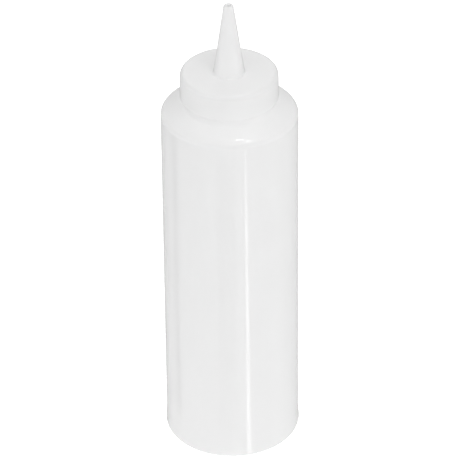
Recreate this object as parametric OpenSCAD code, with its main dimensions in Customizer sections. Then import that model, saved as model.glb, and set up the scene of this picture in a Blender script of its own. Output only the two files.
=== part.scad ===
// Squeeze bottle for sauce, with a screw-on cone-tip cap.
// The origin is the centre of the standing ring, on the surface that the bottle stands on, with +Z up.
// Every piece is turned about Z: its half outline is a polygon, with radius along X and height along Y.

/* [Bottle body] */
// Outer diameter of the straight wall
body_d = 56; // [50:0.5:75]
// Height at which the straight wall ends and the shoulder begins
wall_h = 154; // [70:1:240]
// Thickness of the blown wall
wall_t = 1; // [0.6:0.1:1.8]
// Outer radius of the edge between the wall and the shoulder
shoulder_edge_r = 2.4; // [1.9:0.1:6]
// Fall of the shoulder from the neck to its edge, in degrees
shoulder_angle = 20; // [8:1:35]

/* [Base] */
// Radius of the rounded heel
heel_r = 2; // [1:0.1:4]
// How far the heel stands out from the wall
heel_flare = 0.3; // [0:0.05:0.6]
// Height over which that flare dies away into the wall
heel_flare_h = 8; // [5:0.5:20]
// Width of the flat ring that the bottle stands on
standing_ring_w = 3.6; // [2:0.1:6]
// Height of the hollow under the base at its centre
push_up_h = 3.6; // [2:0.1:7]
// Thickness of the base
base_t = 1.3; // [0.8:0.1:2.5]
// Length of the weld left across the base where the mould closed
weld_l = 34; // [10:1:40]
// Width of that weld
weld_w = 0.9; // [0.5:0.1:2]
// How far the weld stands down from the hollow
weld_h = 0.5; // [0.2:0.1:1]

/* [Neck] */
// Outer diameter of the neck
neck_d = 34.8; // [26:0.2:38]
// Thickness of the neck's wall
neck_t = 1.9; // [1.4:0.1:3]
// Height of the neck from the shoulder to its rim
neck_h = 11.8; // [9:0.1:16]
// Radius of the hollow between the shoulder and the neck
neck_root_r = 2; // [0.5:0.1:3]
// Radius of the inside edge below the neck
neck_inner_r = 1; // [0.3:0.1:2]
// Rounding of the rim's outer edge
rim_edge_r = 0.5; // [0.2:0.1:0.7]
// Rounding of the rim's inner edge
rim_inner_r = 0.3; // [0.1:0.1:0.6]

/* [Seal ring] */
// Thickness of the seal ring
seal_t = 1.2; // [0.6:0.1:2.5]
// Gap between the seal ring and the skirt around it
seal_gap = 0.2; // [0.1:0.05:0.5]

/* [Cap] */
// Gap between the neck and the skirt, which the screw thread takes up
thread_gap = 1.5; // [1.2:0.1:2]
// Thickness of the skirt at its lower edge
skirt_t = 1.2; // [0.9:0.1:2.5]
// Full height of the skirt, from its lower edge to the cap's top
cap_h = 11; // [8:0.1:13]
// How far the skirt draws in from its lower edge to the cap's top, on the radius
skirt_draft = 0.15; // [0:0.05:0.4]
// Thickness of the cap's flat top
top_t = 1.5; // [1:0.1:2.5]
// Radius of the edge between the skirt and the top
crown_r = 1.8; // [0.8:0.1:3]
// Rounding of the skirt's lower edge
skirt_edge_r = 0.35; // [0.1:0.05:0.5]
// Lead-in inside the skirt's lower edge
lead_in = 0.5; // [0.2:0.1:0.8]

/* [Nozzle] */
// Height of the nozzle above the cap's top
nozzle_h = 31; // [15:0.5:60]
// Outer diameter of the nozzle where it leaves the cap's top
nozzle_base_d = 12.6; // [10:0.1:18]
// Outer diameter of the nozzle at its tip
nozzle_tip_d = 4.2; // [3.2:0.1:8]
// Thickness of the nozzle's wall at its base
nozzle_t = 1.2; // [0.8:0.1:2]
// Radius of the hollow between the top and the nozzle
nozzle_root_r = 0.8; // [0.3:0.1:2]
// Rounding of the nozzle's lip
lip_r = 0.7; // [0.2:0.05:1]
// Diameter of the orifice
orifice_d = 2.6; // [1:0.1:3]
// Length of the straight bore behind the orifice
orifice_l = 4; // [2:0.5:8]
// Radius of the inside edge where the nozzle opens into the cap
nozzle_mouth_r = 1; // [0.3:0.1:1.4]

/* [Hidden] */
$fn = 96;
// Straight steps in each rounded edge, and in the shallow dome of the base
edge_steps = 8;
dome_steps = 16;
// Cutters reach this far past the face that they cut
past = 1;
// Least rounding inside an edge whose outer radius is no more than the wall
least_inner_r = 0.4;

// Bottle
body_r = body_d / 2;
heel_out_r = body_r + heel_flare;
shoulder_edge_z = wall_h;
shoulder_edge_c = body_r - shoulder_edge_r;
neck_r = neck_d / 2;
bore_r = neck_r - neck_t;
neck_root_z = shoulder_z(neck_r);
rim_z = neck_root_z + neck_h;

// The hollow under the base is part of a sphere, cut off by the standing ring
hollow_r = heel_out_r - heel_r - standing_ring_w;
dome_r = (pow(hollow_r, 2) + pow(push_up_h, 2)) / (2 * push_up_h);
dome_c = push_up_h - dome_r;

// Cap, which sits on the seal ring, which sits on the rim
skirt_in_r = neck_r + thread_gap;
skirt_r = skirt_in_r + skirt_t;
crown_out_r = skirt_r - skirt_draft;
top_under_z = rim_z + seal_t;
top_z = top_under_z + top_t;
skirt_z = top_z - cap_h;
seal_r = skirt_in_r - seal_gap;

// Nozzle
tip_z = top_z + nozzle_h;
nozzle_r = nozzle_base_d / 2;
tip_r = nozzle_tip_d / 2;
orifice_r = orifice_d / 2;
// The lip keeps a flat land round the orifice, however thin its wall
lip_land = 0.05;
lip_round_r = min(lip_r, tip_r - orifice_r - lip_land);
nozzle_slope = atan((nozzle_r - tip_r) / (nozzle_h - lip_round_r));
bore_base_r = nozzle_r - nozzle_t;
bore_top_z = tip_z - orifice_l;
bore_slope = atan((bore_base_r - orifice_r) / (bore_top_z - top_z));

natural = [0.9, 0.9, 0.89];
seal_white = [0.8, 0.82, 0.82];

// Points of an arc about c, from one angle to another
function arc(c, r, from, to, steps = edge_steps) =
    [for (i = [0:steps]) c + r * [cos(from + (to - from) * i / steps), sin(from + (to - from) * i / steps)]];

// Height of the shoulder's outer face at radius r
function shoulder_z(r) =
    shoulder_edge_z + shoulder_edge_r * cos(shoulder_angle)
    + (shoulder_edge_c + shoulder_edge_r * sin(shoulder_angle) - r) * tan(shoulder_angle);

// Centre of an arc of radius r that touches a wall at side_r and the shoulder, sunk by depth
function shoulder_arc_c(side_r, r, depth) =
    [side_r + r, shoulder_z(side_r + r) + (r - depth) / cos(shoulder_angle)];

// Outside of the bottle, from the centre of its base to the rim's inner edge
bottle_outside = concat(
    arc([0, dome_c], dome_r, 90, 90 - asin(hollow_r / dome_r), dome_steps),
    arc([heel_out_r - heel_r, heel_r], heel_r, -90, 0),
    [[body_r, heel_flare_h]],
    arc([shoulder_edge_c, shoulder_edge_z], shoulder_edge_r, 0, 90 - shoulder_angle),
    arc(shoulder_arc_c(neck_r, neck_root_r, 0), neck_root_r, 270 - shoulder_angle, 180),
    arc([neck_r - rim_edge_r, rim_z - rim_edge_r], rim_edge_r, 0, 90),
    arc([bore_r + rim_inner_r, rim_z - rim_inner_r], rim_inner_r, 90, 180)
);

// Inside of the bottle, from the neck's bore down to the centre of the floor
floor_r = dome_r + base_t;
floor_flat_r = sqrt(pow(floor_r, 2) - pow(base_t - dome_c, 2));
inner_heel_r = max(heel_r - wall_t, least_inner_r);
bottle_inside = concat(
    arc(shoulder_arc_c(bore_r, neck_inner_r, wall_t), neck_inner_r, 180, 270 - shoulder_angle),
    arc([shoulder_edge_c, shoulder_edge_z], shoulder_edge_r - wall_t, 90 - shoulder_angle, 0),
    arc([body_r - wall_t - inner_heel_r, base_t + inner_heel_r], inner_heel_r, 0, -90),
    arc([0, dome_c], floor_r, 90 - asin(floor_flat_r / floor_r), 90, dome_steps)
);

// Outside of the cap, from the skirt's lead-in up to the lip of the orifice
cap_outside = concat(
    [[skirt_in_r, skirt_z + lead_in], [skirt_in_r + lead_in, skirt_z]],
    arc([skirt_r - skirt_edge_r, skirt_z + skirt_edge_r], skirt_edge_r, -90, 0, edge_steps / 2),
    arc([crown_out_r - crown_r, top_z - crown_r], crown_r, 0, 90),
    arc(nozzle_arc_c(), nozzle_root_r, 270, 180 + nozzle_slope),
    arc([tip_r - lip_round_r, tip_z - lip_round_r], lip_round_r, nozzle_slope, 90)
);

// Inside of the cap, from the orifice down the nozzle and out under the top
cap_inside = concat(
    [[orifice_r, tip_z], [orifice_r, bore_top_z]],
    arc(mouth_arc_c(), nozzle_mouth_r, 180 + bore_slope, 270),
    [[skirt_in_r, top_under_z]]
);

// Centre of the arc between the cap's top and the nozzle's side
function nozzle_arc_c() =
    let (rise = nozzle_root_r * (1 - sin(nozzle_slope)), out = nozzle_root_r * cos(nozzle_slope))
    [nozzle_r - rise * tan(nozzle_slope) + out, top_z + nozzle_root_r];

// Centre of the arc between the nozzle's bore and the top's underside
function mouth_arc_c() =
    let (drop = top_z - top_under_z - nozzle_mouth_r * (1 - sin(bore_slope)))
    [bore_base_r + drop * tan(bore_slope) + nozzle_mouth_r * cos(bore_slope), top_under_z + nozzle_mouth_r];

// Half ring between two radii, standing down from the hollow under the base
module weld_shell() {
    rotate_extrude()
        polygon(concat(
            arc([0, dome_c], dome_r + base_t / 2, 90, 90 - asin(weld_l / 2 / dome_r), dome_steps),
            arc([0, dome_c], dome_r - weld_h, 90 - asin(weld_l / 2 / dome_r), 90, dome_steps)
        ));
}

module mould_weld() {
    intersection() {
        weld_shell();
        translate([-weld_l / 2, -weld_w / 2, 0])
            cube([weld_l, weld_w, push_up_h + base_t]);
    }
}

module bottle() {
    color(natural)
    union() {
        rotate_extrude()
            polygon(concat(bottle_outside, bottle_inside));
        mould_weld();
    }
}

// Flat washer that lies on the rim and seals against the cap's underside
module seal_ring() {
    color(seal_white)
    translate([0, 0, rim_z])
    difference() {
        cylinder(h = seal_t, r = seal_r);
        translate([0, 0, -past])
            cylinder(h = seal_t + 2 * past, r = bore_r);
    }
}

module cap() {
    color(natural)
    rotate_extrude()
        polygon(concat(cap_outside, cap_inside));
}

bottle();
seal_ring();
cap();
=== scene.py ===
"""Squeeze bottle for sauce, with a screw-on cone-tip cap: the looks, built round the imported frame.

Sizes of the object and the panels are millimetres, and their meshes are made in metres. The lamps, the
camera and the materials are in metres. Angles are degrees.
"""
import math

import bmesh
import bpy
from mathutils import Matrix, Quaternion, Vector


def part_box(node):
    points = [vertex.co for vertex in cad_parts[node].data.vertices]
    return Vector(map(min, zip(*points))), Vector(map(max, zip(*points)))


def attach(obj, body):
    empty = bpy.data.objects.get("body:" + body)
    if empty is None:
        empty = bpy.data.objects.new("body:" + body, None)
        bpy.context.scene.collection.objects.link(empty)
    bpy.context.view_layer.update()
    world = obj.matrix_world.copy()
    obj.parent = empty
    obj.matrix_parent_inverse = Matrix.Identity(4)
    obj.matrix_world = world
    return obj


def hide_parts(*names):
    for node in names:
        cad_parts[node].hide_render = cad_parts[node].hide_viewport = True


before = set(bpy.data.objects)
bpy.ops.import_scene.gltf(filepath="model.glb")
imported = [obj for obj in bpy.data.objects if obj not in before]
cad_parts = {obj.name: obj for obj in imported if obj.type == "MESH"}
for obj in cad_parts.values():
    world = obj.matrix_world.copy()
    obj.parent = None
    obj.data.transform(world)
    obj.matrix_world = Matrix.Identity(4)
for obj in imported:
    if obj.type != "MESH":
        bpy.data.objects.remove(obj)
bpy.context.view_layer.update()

mm = 0.001


def box_mm(node):
    """Lowest and highest corner of a CAD node in millimetres."""
    low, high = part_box(node)
    return low / mm, high / mm


# Sizes that the frame gives
_, bottle_high = box_mm("bottle")
_, seal_high = box_mm("seal_ring")
cap_low, cap_high = box_mm("cap")
rim_z = bottle_high.z
top_under_z = seal_high.z
skirt_z = cap_low.z
tip_z = cap_high.z
heel_out_r = bottle_high.x
skirt_r = cap_high.x

# Bottle, with the names that the part's source uses
heel_flare = 0.3
heel_flare_h = 8
heel_r = 2
standing_ring_w = 3.6
push_up_h = 3.6
base_t = 1.3
wall_h = 154
wall_t = 1
shoulder_edge_r = 2.4
shoulder_angle = 20
neck_r = 17.4
neck_t = 1.9
neck_root_r = 2
neck_inner_r = 1
rim_edge_r = 0.5
rim_inner_r = 0.3
body_r = heel_out_r - heel_flare
bore_r = neck_r - neck_t
hollow_r = heel_out_r - heel_r - standing_ring_w
dome_r = (hollow_r ** 2 + push_up_h ** 2) / (2 * push_up_h)

# Cap
skirt_t = 1.2
skirt_draft = 0.15
top_t = 1.5
crown_r = 1.8
skirt_edge_r = 0.35
lead_in = 0.5
top_z = top_under_z + top_t
skirt_in_r = skirt_r - skirt_t
crown_out_r = skirt_r - skirt_draft
nozzle_r = 6.3
tip_r = 2.1
nozzle_t = 1.2
nozzle_root_r = 0.8
nozzle_mouth_r = 1
lip_r = 0.7
orifice_r = 1.3
orifice_l = 4

# Swell of the shoulder's slope over its straight line
shoulder_crown = 0.15
crown_steps = 16

# Screw thread. The cap's ridge is a little lower and narrower than the neck's
pitch = 4.233
neck_thread_h = 1.15
neck_thread_root_w = 2.1
neck_thread_crest_w = 0.9
neck_thread_turns = 1.35
neck_thread_top = 2
cap_thread_h = 1.1
cap_thread_root_w = 1.7
cap_thread_crest_w = 0.8
cap_thread_turns = 1
cap_thread_start = 180
thread_clearance = 0.12
thread_sink = 0.15
thread_fade = 26
thread_end_w = 0.3
thread_turn_steps = 72

# Weld line across the base
weld_l = 34
weld_w = 0.9
weld_h = 0.5
weld_edge = 0.15
weld_sink = 0.4
weld_fade = 1.5
weld_steps = 40

# Fineness of the turned shapes
turn_steps = 256
arc_step = 5

# Plastics. The bottle is glossy and the cap is nearly matt. The tint darkens edges that turn away
bottle_grey = (0.88, 0.88, 0.88)
bottle_roughness = 0.05
bottle_edge_tint = 0.953
cap_grey = (0.855, 0.855, 0.855)
cap_roughness = 0.35
cap_edge_tint = 0.96
# Reach of the painted shade that dims the highlight on the cap's rounded edge
ring_shade_reach = 1.7

# Camera, at the photograph's angle
camera_elevation = 34
camera_roll = -0.61
camera_distance = 1.59
camera_aim = (-0.00032, 0, 0.09697)
focal_mm = 300.5

# Light. The floor's two levels are what it adds where the camera sees it and where plastic mirrors it
floor_size = 6
floor_seen = 0.7
floor_mirrored = 0.4
sky_toward = (0.05, -0.9, 0.1)
sky_behind = 0.5
sky_before = 0.64
lamp_distance = 1.2
lamp_size = 0.5
lamp_aim_z = 0.11

# Panels that the glossy wall mirrors
glint_distance = 1000
glint_aim_z = 157
glint_h = 12
strip_rows = 24
strip_over = 20
strip_z = 1


def tan(angle):
    return math.tan(math.radians(angle))


def cos(angle):
    return math.cos(math.radians(angle))


def sin(angle):
    return math.sin(math.radians(angle))


def arc(centre, r, start, end):
    """Points of an arc about centre, in a half section of radius and height."""
    steps = max(2, math.ceil(abs(end - start) / arc_step))
    angles = [start + (end - start) * i / steps for i in range(steps + 1)]
    return [(centre[0] + r * cos(a), centre[1] + r * sin(a)) for a in angles]


def shoulder_z(r):
    """Height of the shoulder's straight slope at radius r."""
    foot = body_r - shoulder_edge_r + shoulder_edge_r * sin(shoulder_angle)
    return wall_h + shoulder_edge_r * cos(shoulder_angle) + (foot - r) * tan(shoulder_angle)


def shoulder_arc_c(side_r, r, depth):
    """Centre of an arc that touches a wall and the shoulder, sunk by depth."""
    return side_r + r, shoulder_z(side_r + r) + (r - depth) / cos(shoulder_angle)


def crowned_slope():
    """Points between the shoulder's edge and the neck's root, raised a little in the middle."""
    outer = body_r - shoulder_edge_r + shoulder_edge_r * sin(shoulder_angle)
    inner = neck_r + neck_root_r - neck_root_r * sin(shoulder_angle)
    spots = []
    for i in range(1, crown_steps):
        t = i / crown_steps
        r = outer + (inner - outer) * t
        spots.append((r, shoulder_z(r) + shoulder_crown * 4 * t * (1 - t)))
    return spots


def bottle_profile():
    """Closed half section of the blown bottle."""
    dome_c = (0, push_up_h - dome_r)
    hollow_end = 90 - math.degrees(math.asin(hollow_r / dome_r))
    edge_c = (body_r - shoulder_edge_r, wall_h)
    floor_r = dome_r + base_t
    floor_flat_r = math.sqrt(floor_r ** 2 - (base_t - dome_c[1]) ** 2)
    floor_end = 90 - math.degrees(math.asin(floor_flat_r / floor_r))
    inner_heel_r = heel_r - wall_t
    return (
        arc(dome_c, dome_r, 90, hollow_end)
        + arc((heel_out_r - heel_r, heel_r), heel_r, -90, 0)
        + [(body_r, heel_flare_h)]
        + arc(edge_c, shoulder_edge_r, 0, 90 - shoulder_angle)
        + crowned_slope()
        + arc(shoulder_arc_c(neck_r, neck_root_r, 0), neck_root_r, 270 - shoulder_angle, 180)
        + arc((neck_r - rim_edge_r, rim_z - rim_edge_r), rim_edge_r, 0, 90)
        + arc((bore_r + rim_inner_r, rim_z - rim_inner_r), rim_inner_r, 90, 180)
        + arc(shoulder_arc_c(bore_r, neck_inner_r, wall_t), neck_inner_r, 180, 270 - shoulder_angle)
        + arc(edge_c, shoulder_edge_r - wall_t, 90 - shoulder_angle, 0)
        + arc((body_r - wall_t - inner_heel_r, base_t + inner_heel_r), inner_heel_r, 0, -90)
        + arc(dome_c, floor_r, floor_end, 90)
    )


def cap_profile():
    """Closed half section of the moulded cap."""
    slope = math.degrees(math.atan((nozzle_r - tip_r) / (tip_z - lip_r - top_z)))
    bore_base_r = nozzle_r - nozzle_t
    bore_top_z = tip_z - orifice_l
    bore_slope = math.degrees(math.atan((bore_base_r - orifice_r) / (bore_top_z - top_z)))
    root_rise = nozzle_root_r * (1 - sin(slope))
    root_c = (nozzle_r - root_rise * tan(slope) + nozzle_root_r * cos(slope), top_z + nozzle_root_r)
    mouth_drop = top_t - nozzle_mouth_r * (1 - sin(bore_slope))
    mouth_c = (
        bore_base_r + mouth_drop * tan(bore_slope) + nozzle_mouth_r * cos(bore_slope),
        top_under_z + nozzle_mouth_r,
    )
    return (
        [(skirt_in_r, skirt_z + lead_in), (skirt_in_r + lead_in, skirt_z)]
        + arc((skirt_r - skirt_edge_r, skirt_z + skirt_edge_r), skirt_edge_r, -90, 0)
        + arc((crown_out_r - crown_r, top_z - crown_r), crown_r, 0, 90)
        + arc(root_c, nozzle_root_r, 270, 180 + slope)
        + arc((tip_r - lip_r, tip_z - lip_r), lip_r, slope, 90)
        + [(orifice_r, tip_z), (orifice_r, bore_top_z)]
        + arc(mouth_c, nozzle_mouth_r, 180 + bore_slope, 270)
        + [(skirt_in_r, top_under_z)]
    )


def mesh_object(name, points, faces, smooth_angle=40):
    """A smooth-shaded object from points in millimetres."""
    mesh = bpy.data.meshes.new(name)
    mesh.from_pydata([Vector(p) * mm for p in points], [], faces)
    bm = bmesh.new()
    bm.from_mesh(mesh)
    bmesh.ops.remove_doubles(bm, verts=bm.verts, dist=1e-7)
    bmesh.ops.recalc_face_normals(bm, faces=bm.faces)
    bm.to_mesh(mesh)
    bm.free()
    mesh.shade_smooth()
    mesh.set_sharp_from_angle(angle=math.radians(smooth_angle))
    made = bpy.data.objects.new(name, mesh)
    bpy.context.scene.collection.objects.link(made)
    return made


def lathe(name, profile):
    """Turns a closed half section about Z."""
    points, faces = [], []
    count = len(profile)
    for i in range(turn_steps):
        a = 2 * math.pi * i / turn_steps
        points += [(r * math.cos(a), r * math.sin(a), z) for r, z in profile]
    for i in range(turn_steps):
        here, there = i * count, (i + 1) % turn_steps * count
        for j in range(count):
            k = (j + 1) % count
            on_axis = profile[j][0] < 1e-6 and profile[k][0] < 1e-6
            if not on_axis:
                faces.append((here + j, there + j, there + k, here + k))
    return mesh_object(name, points, faces)


def ridge_faces(steps, ring):
    """Faces of a ridge with closed ends, made of steps + 1 rings of points."""
    faces = []
    for i in range(steps):
        for j in range(ring):
            k = (j + 1) % ring
            faces.append((i * ring + j, i * ring + k, (i + 1) * ring + k, (i + 1) * ring + j))
    faces.append(tuple(range(ring)))
    faces.append(tuple(reversed(range(steps * ring, steps * ring + ring))))
    return faces


def thread(name, root_r, out, start_z, start_angle, turns, height, root_w, crest_w):
    """A helical ridge that rises anticlockwise, with out = 1 on a neck and -1 inside a skirt.

    Over the first and last thread_fade degrees it narrows to thread_end_w of its width and sinks into
    the wall.
    """
    steps = int(thread_turn_steps * turns)
    end_angle = start_angle + 360 * turns
    points = []
    for i in range(steps + 1):
        angle = start_angle + 360 * turns * i / steps
        rise = min(1, min(angle - start_angle, end_angle - angle) / thread_fade)
        rise = rise * rise * (3 - 2 * rise)
        z = start_z + pitch * (angle - start_angle) / 360
        crest = root_r + out * (height * rise + (rise - 1) * thread_sink * 0.9)
        root = root_r - out * thread_sink
        width = thread_end_w + (1 - thread_end_w) * rise
        half_root, half_crest = root_w / 2 * width, crest_w / 2 * width
        # Half widths of the ridge at shares of its height
        flank = [
            (0, half_root),
            (0.55, (half_root + half_crest) / 2),
            (0.9, half_crest + 0.02),
            (1, half_crest * 0.6),
        ]
        section = [(up, -half) for up, half in flank] + [(up, half) for up, half in reversed(flank)]
        for up, dz in section:
            r = root + (crest - root) * up
            points.append((r * cos(angle), r * sin(angle), z + dz))
    return mesh_object(name, points, ridge_faces(steps, len(section)), 50)


def base_weld():
    """The weld line that the closing mould leaves across the hollow base."""
    points = []
    for i in range(weld_steps + 1):
        x = weld_l * (i / weld_steps - 0.5)
        dome = push_up_h - dome_r + math.sqrt(dome_r ** 2 - x ** 2)
        low = dome - weld_h * min(1, (weld_l / 2 - abs(x)) / weld_fade)
        section = [
            (-weld_w / 2, dome + weld_sink),
            (-weld_w / 2, low + weld_edge),
            (-weld_w / 4, low),
            (weld_w / 4, low),
            (weld_w / 2, low + weld_edge),
            (weld_w / 2, dome + weld_sink),
        ]
        points += [(x, y, z) for y, z in section]
    return mesh_object("base_weld", points, ridge_faces(weld_steps, len(section)))


class Nodes:
    """Short hand for the node tree of a material or a world."""

    def __init__(self, owner):
        owner.use_nodes = True
        self.tree = owner.node_tree
        self.tree.nodes.clear()

    def add(self, kind, inputs=None, **settings):
        """A node. Each input is a value or the socket that feeds it."""
        node = self.tree.nodes.new(kind)
        for key, value in settings.items():
            setattr(node, key, value)
        for key, value in (inputs or {}).items():
            if isinstance(value, bpy.types.NodeSocket):
                self.tree.links.new(value, node.inputs[key])
            else:
                node.inputs[key].default_value = value
        return node

    def number(self, operation, *values):
        """The result of a sum on numbers."""
        node = self.add("ShaderNodeMath", dict(enumerate(values)), operation=operation)
        return node.outputs[0]

    def vector(self, operation, *values):
        """A node that works on vectors."""
        return self.add("ShaderNodeVectorMath", dict(enumerate(values)), operation=operation)

    def noise(self, place, scale, detail, roughness=0.5):
        """Cloudy noise from 0 to 1."""
        settings = {"Vector": place, "Scale": scale, "Detail": detail, "Roughness": roughness}
        return self.add("ShaderNodeTexNoise", settings).outputs["Fac"]

    def blend(self, factor, a, b):
        """A blend of two colours."""
        inputs = {"Factor": factor, "A": a, "B": b}
        return self.add("ShaderNodeMix", inputs, data_type="RGBA").outputs[2]

    def bump(self, height, strength, distance, **inputs):
        """A normal that is made uneven by a height."""
        settings = {"Height": height, "Strength": strength, "Distance": distance, **inputs}
        return self.add("ShaderNodeBump", settings).outputs["Normal"]

    def ramp(self, fac, low, high, start=0.0, end=1.0):
        """fac from start to end, made low to high."""
        limits = {"Value": fac, "From Min": start, "From Max": end, "To Min": low, "To Max": high}
        return self.add("ShaderNodeMapRange", limits).outputs["Result"]


def shade(colour, share):
    """The colour times share, with the alpha that a colour socket takes."""
    return (*[min(1, c * share) for c in colour], 1)


def painted_ring_shade(n, place, tone, colour, ring_r, ring_z, shade_reach):
    """Painted shade: the tone a little darker round a ring, which dims the highlight that the lamps
    put on a rounded edge.
    """
    flat = n.vector("MULTIPLY", place, (1, 1, 0))
    radius = n.vector("LENGTH", flat.outputs[0])
    height = n.add("ShaderNodeSeparateXYZ", {0: place})
    section = n.add("ShaderNodeCombineXYZ", {"X": radius.outputs["Value"], "Y": height.outputs["Z"]})
    gap = n.vector("DISTANCE", section.outputs[0], (ring_r * mm, ring_z * mm, 0))
    painted_shade_mask = n.ramp(gap.outputs["Value"], 1.0, 0.0, 0.0, shade_reach * mm)
    return n.blend(painted_shade_mask, tone, shade(colour, 0.95))


def soft_plastic(name, colour, roughness, edge_tint, ring_shade=None):
    """Uncoloured, slightly cloudy squeeze plastic.

    It has faint clouds in its colour and its gloss, a fine uneven skin, and edges that are a little
    darker where they turn away.
    """
    material = bpy.data.materials.new(name)
    n = Nodes(material)
    place = n.add("ShaderNodeTexCoord").outputs["Object"]
    clouds = n.noise(place, 55.0, 4.0, 0.55)
    fine = n.noise(place, 900.0, 3.0, 0.6)
    long_way = n.vector("MULTIPLY", place, (1, 1, 0.04))
    streaks = n.noise(long_way.outputs[0], 60.0, 2.0)
    parts = {"Factor": 0.5, "A": clouds, "B": streaks}
    mixed = n.add("ShaderNodeMix", parts, data_type="FLOAT").outputs[0]
    tone = n.blend(mixed, shade(colour, 0.97), shade(colour, 1.03))
    # Painted shade round a ring, darker than the plastic's own tone
    if ring_shade:
        tone = painted_ring_shade(n, place, tone, colour, *ring_shade)
    skin = n.bump(fine, 0.12, 0.00002)
    waves = n.noise(place, 28.0, 1.0)
    shader = n.add(
        "ShaderNodeBsdfPrincipled",
        {
            "Base Color": tone,
            "Roughness": n.ramp(clouds, roughness * 0.85, roughness * 1.15),
            "IOR": 1.51,
            "Specular IOR Level": 0.3,
            "Subsurface Weight": 0.3,
            "Subsurface Radius": (1.0, 1.0, 1.0),
            "Subsurface Scale": 0.005,
            "Coat Weight": 1.0,
            "Coat IOR": 1.003,
            "Coat Roughness": 0.3,
            "Coat Tint": (edge_tint, edge_tint, edge_tint, 1),
            "Normal": n.bump(waves, 0.15, 0.0008, Normal=skin),
        },
    )
    n.add("ShaderNodeOutputMaterial", {"Surface": shader.outputs["BSDF"]})
    return material


def soft_foam():
    """White sealing foam with fine closed cells."""
    material = bpy.data.materials.new("seal_foam")
    n = Nodes(material)
    place = n.add("ShaderNodeTexCoord").outputs["Object"]
    cells = n.add("ShaderNodeTexVoronoi", {"Vector": place, "Scale": 2500.0}).outputs["Distance"]
    tone = n.blend(cells, (0.72, 0.73, 0.72, 1), (0.82, 0.83, 0.82, 1))
    looks = {"Base Color": tone, "Roughness": 0.8, "Normal": n.bump(cells, 0.4, 0.0001)}
    shader = n.add("ShaderNodeBsdfPrincipled", looks)
    n.add("ShaderNodeOutputMaterial", {"Surface": shader.outputs["BSDF"]})
    return material


def wear(piece, material, body):
    """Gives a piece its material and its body."""
    piece.data.materials.clear()
    piece.data.materials.append(material)
    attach(piece, body)


def studio_floor():
    """A white floor that keeps the shadow and is lifted to white where it is seen or mirrored."""
    bpy.ops.mesh.primitive_plane_add(size=floor_size)
    floor = bpy.context.object
    floor.name = "studio_floor"
    material = bpy.data.materials.new("studio_floor")
    n = Nodes(material)
    path = n.add("ShaderNodeLightPath").outputs
    mirrored = n.number("MAXIMUM", path["Is Glossy Ray"], path["Is Transmission Ray"])
    seen = n.number("MULTIPLY", path["Is Camera Ray"], floor_seen)
    lift = n.number("MULTIPLY_ADD", mirrored, floor_mirrored, seen)
    matt = n.add("ShaderNodeBsdfDiffuse", {"Color": (0.8, 0.8, 0.8, 1)})
    glow = n.add("ShaderNodeEmission", {"Color": (1, 1, 1, 1), "Strength": lift})
    both = n.add("ShaderNodeAddShader", {0: matt.outputs[0], 1: glow.outputs[0]})
    n.add("ShaderNodeOutputMaterial", {"Surface": both.outputs[0]})
    floor.data.materials.append(material)


def studio_world():
    """A white backdrop, and soft light all round that is a little stronger in front."""
    world = bpy.data.worlds.new("studio")
    bpy.context.scene.world = world
    n = Nodes(world)
    path = n.add("ShaderNodeLightPath").outputs
    seen = n.number("MAXIMUM", path["Is Camera Ray"], path["Is Glossy Ray"])
    seen = n.number("MAXIMUM", seen, path["Is Transmission Ray"])
    place = n.add("ShaderNodeTexCoord").outputs["Generated"]
    toward = n.vector("DOT_PRODUCT", place, sky_toward)
    level = n.ramp(toward.outputs["Value"], sky_behind, sky_before, -1.0, 1.0)
    shown = n.add("ShaderNodeMix", {"Factor": seen, "A": level, "B": 1.0}, data_type="FLOAT")
    sky = n.add("ShaderNodeBackground", {"Color": (1, 1, 1, 1), "Strength": shown.outputs[0]})
    n.add("ShaderNodeOutputWorld", {"Surface": sky.outputs[0]})


def lamp(name, azimuth, elevation, power, soft=False):
    """A square lamp aimed at the bottle. Azimuth 0 is the camera's side and 90 is the bottle's right.

    A soft lamp casts no shadow, so one under the floor still lights the bottle.
    """
    data = bpy.data.lights.new(name, "AREA")
    data.size = lamp_size
    data.energy = power
    data.use_shadow = not soft
    made = bpy.data.objects.new(name, data)
    bpy.context.scene.collection.objects.link(made)
    back = Vector((sin(azimuth) * cos(elevation), -cos(azimuth) * cos(elevation), sin(elevation)))
    made.location = Vector((0, 0, lamp_aim_z)) + back * lamp_distance
    made.rotation_mode = "QUATERNION"
    made.rotation_quaternion = back.to_track_quat("Z", "Y")
    made.visible_glossy = False
    made.visible_camera = False


def emitter(name, points, faces, strength):
    """A bright or dark panel that only shows where the plastic mirrors it."""
    panel = mesh_object(name, points, faces)
    material = bpy.data.materials.new(name)
    n = Nodes(material)
    glow = n.add("ShaderNodeEmission", {"Color": (1, 1, 1, 1), "Strength": strength})
    n.add("ShaderNodeOutputMaterial", {"Surface": glow.outputs[0]})
    panel.data.materials.append(material)
    panel.visible_camera = False
    panel.visible_diffuse = False
    panel.visible_shadow = False


def glint(name, start, end, strength):
    """A long flat panel over the shoulder, from one direction to another."""
    shoulder = Vector((0, 0, glint_aim_z))
    left = Vector(start).normalized() * glint_distance
    right = Vector(end).normalized() * glint_distance
    rise = (right - left).cross(left + right).normalized() * (glint_h / 2)
    corners = [shoulder + p for p in (left - rise, right - rise, right + rise, left + rise)]
    emitter(name, corners, [(0, 1, 2, 3)], strength)


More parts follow.
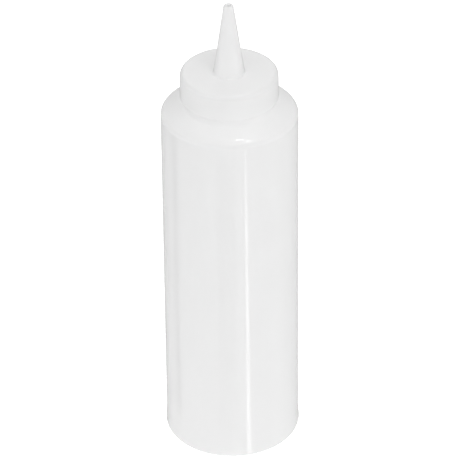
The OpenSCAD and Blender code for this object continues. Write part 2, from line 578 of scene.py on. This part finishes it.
def floor_strip(name, low, low_angle, high_angle, half_angle, strength, taper=0):
    """A strip along the floor, shaped so that the wall mirrors it as one upright line.

    low is the height where the line starts. The angles go round from the front, from the line's foot
    to its top, and taper is the share of its width that it loses on the way up.
    """
    drop = 1 / tan(camera_elevation)
    points, faces = [], []
    for i in range(strip_rows + 1):
        z = low + (wall_h + strip_over - low) * i / strip_rows
        middle = low_angle + (high_angle - low_angle) * z / wall_h
        half = half_angle * (1 - taper * i / strip_rows)
        for turn in (middle - half, middle + half):
            x = body_r * sin(turn) + z * drop * sin(2 * turn)
            y = -body_r * cos(turn) - z * drop * cos(2 * turn)
            points.append((x, y, strip_z))
    for i in range(strip_rows):
        faces.append((2 * i, 2 * i + 1, 2 * i + 3, 2 * i + 2))
    emitter(name, points, faces, strength)


# Bottle and cap. The cap's painted shade lies round the middle of its rounded edge, to dim the lamps'
# highlight there
cap_edge = 0.3 * crown_r
cap_ring_shade = (crown_out_r - cap_edge, top_z - cap_edge, ring_shade_reach)
bottle_plastic = soft_plastic("bottle_plastic", bottle_grey, bottle_roughness, bottle_edge_tint)
cap_plastic = soft_plastic("cap_plastic", cap_grey, cap_roughness, cap_edge_tint, cap_ring_shade)

bottle_shell = lathe("bottle_shell", bottle_profile())
wear(bottle_shell, bottle_plastic, "bottle_body")
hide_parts("bottle")

weld = base_weld()
wear(weld, bottle_plastic, "bottle_body")

neck_thread_z = rim_z - neck_thread_top - pitch * neck_thread_turns
neck_thread = thread(
    "neck_thread", neck_r, 1, neck_thread_z, 0, neck_thread_turns,
    neck_thread_h, neck_thread_root_w, neck_thread_crest_w,
)
wear(neck_thread, bottle_plastic, "bottle_body")

cap_shell = lathe("cap_shell", cap_profile())
wear(cap_shell, cap_plastic, "cap_body")
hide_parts("cap")

# The cap's thread starts half a turn round and lies just under the neck's
half_widths = (neck_thread_root_w + neck_thread_crest_w + cap_thread_root_w + cap_thread_crest_w) / 4
cap_thread_z = neck_thread_z + pitch / 2 - half_widths - thread_clearance
cap_thread = thread(
    "cap_thread", skirt_in_r, -1, cap_thread_z, cap_thread_start, cap_thread_turns,
    cap_thread_h, cap_thread_root_w, cap_thread_crest_w,
)
wear(cap_thread, cap_plastic, "cap_body")

foam = soft_foam()
for material_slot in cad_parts["seal_ring"].material_slots:
    material_slot.material = foam

# Light
studio_floor()
studio_world()
lamp("key_right", 35, 35, 1.9)
lamp("key_left", -35, 35, 0.7)
lamp("fill_back", 180, -20, 2.0, soft=True)
lamp("fill_right", 68, -32, 3.8, soft=True)
lamp("fill_left", -68, -32, 4.8, soft=True)
lamp("fill_front", 0, -32, 1.3, soft=True)
lamp("fill_top", 0, 85, 4.1, soft=True)
glint("studio_glint_left", (0.035, 0.197, 0.978), (0.16, 0.215, 0.963), 19)
glint("studio_glint_right", (0.17, 0.195, 0.966), (0.265, 0.232, 0.936), 8.5)
floor_strip("studio_line", 1.5, 14, 12.8, half_angle=1.9, strength=5.5, taper=0.75)
floor_strip("studio_dark_middle", 14, -3.5, -3.5, half_angle=7.5, strength=0.15)
floor_strip("studio_dark_left", 14, -53, -53, half_angle=3.2, strength=0.35)

# Camera
camera = bpy.data.objects.new("camera", bpy.data.cameras.new("camera"))
bpy.context.scene.collection.objects.link(camera)
camera.data.lens = focal_mm
camera.data.sensor_width = 36
camera.data.clip_end = 50
away = Vector((0, -cos(camera_elevation), sin(camera_elevation)))
roll = Quaternion((0, 0, 1), math.radians(camera_roll))
camera.location = Vector(camera_aim) + away * camera_distance
camera.rotation_mode = "QUATERNION"
camera.rotation_quaternion = (-away).to_track_quat("-Z", "Y") @ roll
bpy.context.scene.camera = camera
bpy.context.scene.view_settings.view_transform = "Standard"
